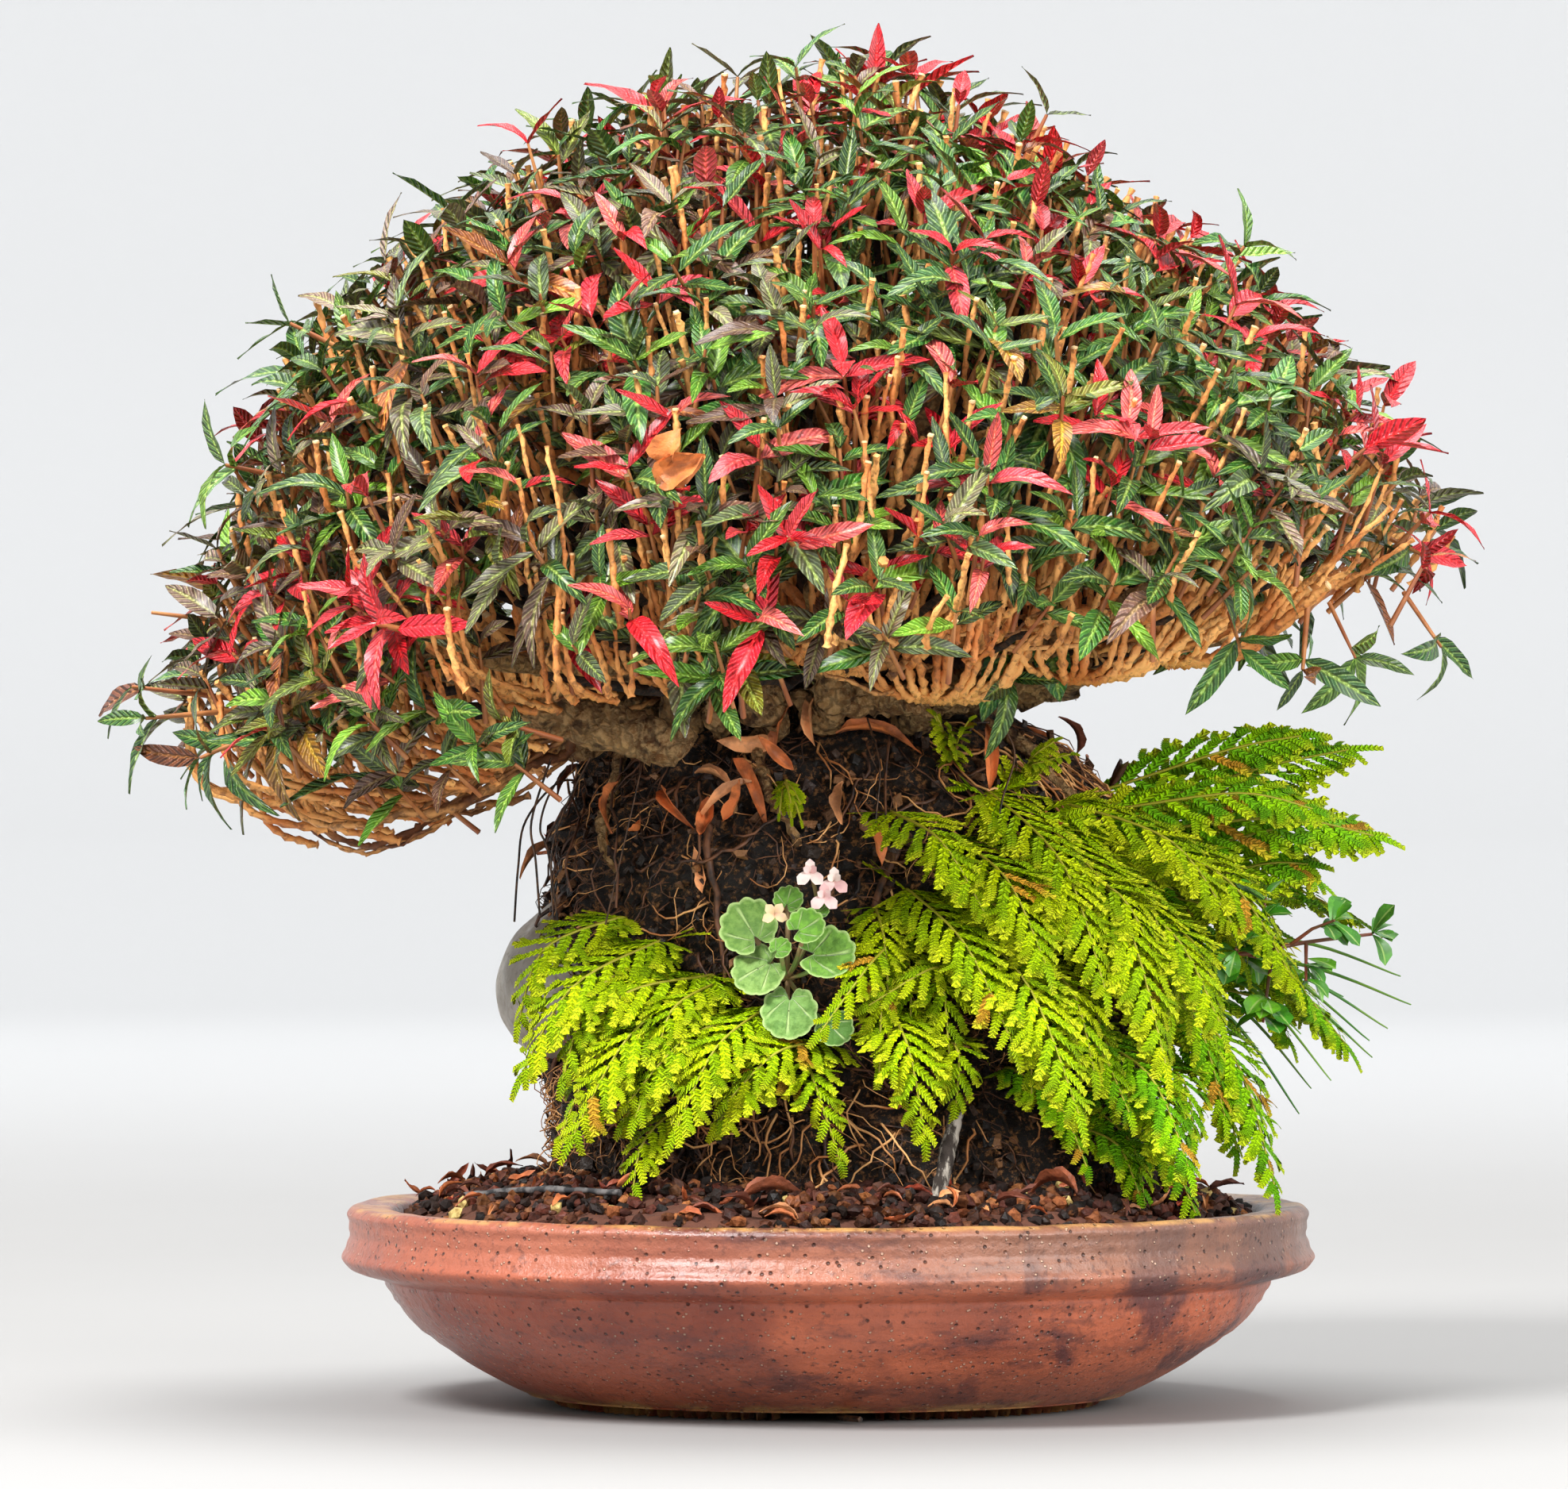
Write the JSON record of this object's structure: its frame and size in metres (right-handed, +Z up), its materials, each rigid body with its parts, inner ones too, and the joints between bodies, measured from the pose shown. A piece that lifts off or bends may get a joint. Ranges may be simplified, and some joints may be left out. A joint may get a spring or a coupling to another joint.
{
  "type": "potted bonsai",
  "caption": "Domed climbing-jasmine bonsai on a tall column of peat and roots with moss-like fronds, in a round unglazed pot.",
  "frame": {"origin": "centre of the bounding box's base, on the ground under the pot", "axes": "+Z up; the front of the plant, seen in the picture, faces -Y; +X to the right from the front"},
  "size_m": [0.3314, 0.3114, 0.3576],
  "materials": {
    "fired_clay": "unglazed, dark reddish brown with salmon and purple-grey patches",
    "plastic_mesh": "dark moulded net",
    "dark_wire": "dark annealed wire",
    "grit_soil": "red-brown fired clay grains",
    "peat": "wet dark peat bound by fine roots",
    "grey_stone": "smooth pale grey pebble",
    "bark": "tan corky bark",
    "leaf_green": "dark green crinkled leaf",
    "leaf_bronze": "bronze grey-green leaf",
    "leaf_red": "crimson young leaf",
    "moss_green": "yellow-green frond",
    "moss_deep": "deeper green frond",
    "round_leaf": "hairy scalloped leaf",
    "petal": "pinkish white petal",
    "shrub_leaf": "glossy small leaf",
    "grass_green": "narrow grass blade",
    "dead_stick": "dark grey dry stick",
    "pale_bark": "grey-white bark",
    "dry_leaf": "dry brown leaf"
  },
  "bodies": {
    "root": {"pot": "fired_clay", "drain_mesh": "plastic_mesh", "tie_wire": "dark_wire", "root_column": "peat", "stone": "grey_stone", "soil": "grit_soil", "wood": "bark", "red_shoot_1": "leaf_red", "red_shoot_2": "leaf_red", "red_shoot_3": "leaf_red", "red_shoot_4": "leaf_red", "red_shoot_5": "leaf_red", "red_shoot_6": "leaf_red", "spray_1": "leaf_green", "spray_2": "leaf_green", "spray_3": "leaf_green", "spray_4": "leaf_green", "spray_5": "leaf_green", "spray_6": "leaf_green", "spray_7": "leaf_green", "spray_8": "leaf_bronze", "spray_9": "leaf_bronze", "spray_10": "leaf_green", "spray_11": "leaf_green", "spray_12": "leaf_green", "spray_13": "leaf_green", "spray_14": "leaf_green", "spray_15": "leaf_green", "spray_16": "leaf_green", "round_leaf_plant": "round_leaf", "creeper_flowers": "petal", "fernlet_1": "moss_green", "fernlet_2": "moss_green", "fernlet_3": "moss_green", "frond_front_1": "moss_green", "frond_front_2": "moss_green", "frond_front_3": "moss_green", "frond_front_4": "moss_green", "frond_front_5": "moss_green", "frond_front_6": "moss_green", "frond_front_7": "moss_green", "frond_front_8": "moss_deep", "frond_front_9": "moss_deep", "frond_front_10": "moss_green", "frond_left_1": "moss_green", "frond_left_2": "moss_green", "frond_left_3": "moss_green", "frond_right_1": "moss_deep", "frond_right_2": "moss_deep", "frond_right_3": "moss_deep", "frond_right_4": "moss_deep", "frond_back_1": "moss_deep", "frond_back_2": "moss_deep", "shrub": "shrub_leaf", "grass": "grass_green", "dark_stick": "dead_stick", "bark_stick": "pale_bark", "hanging_wire": "dark_wire", "fallen_leaf_1": "dry_leaf", "fallen_leaf_2": "dry_leaf"}
  },
  "joints": []
}
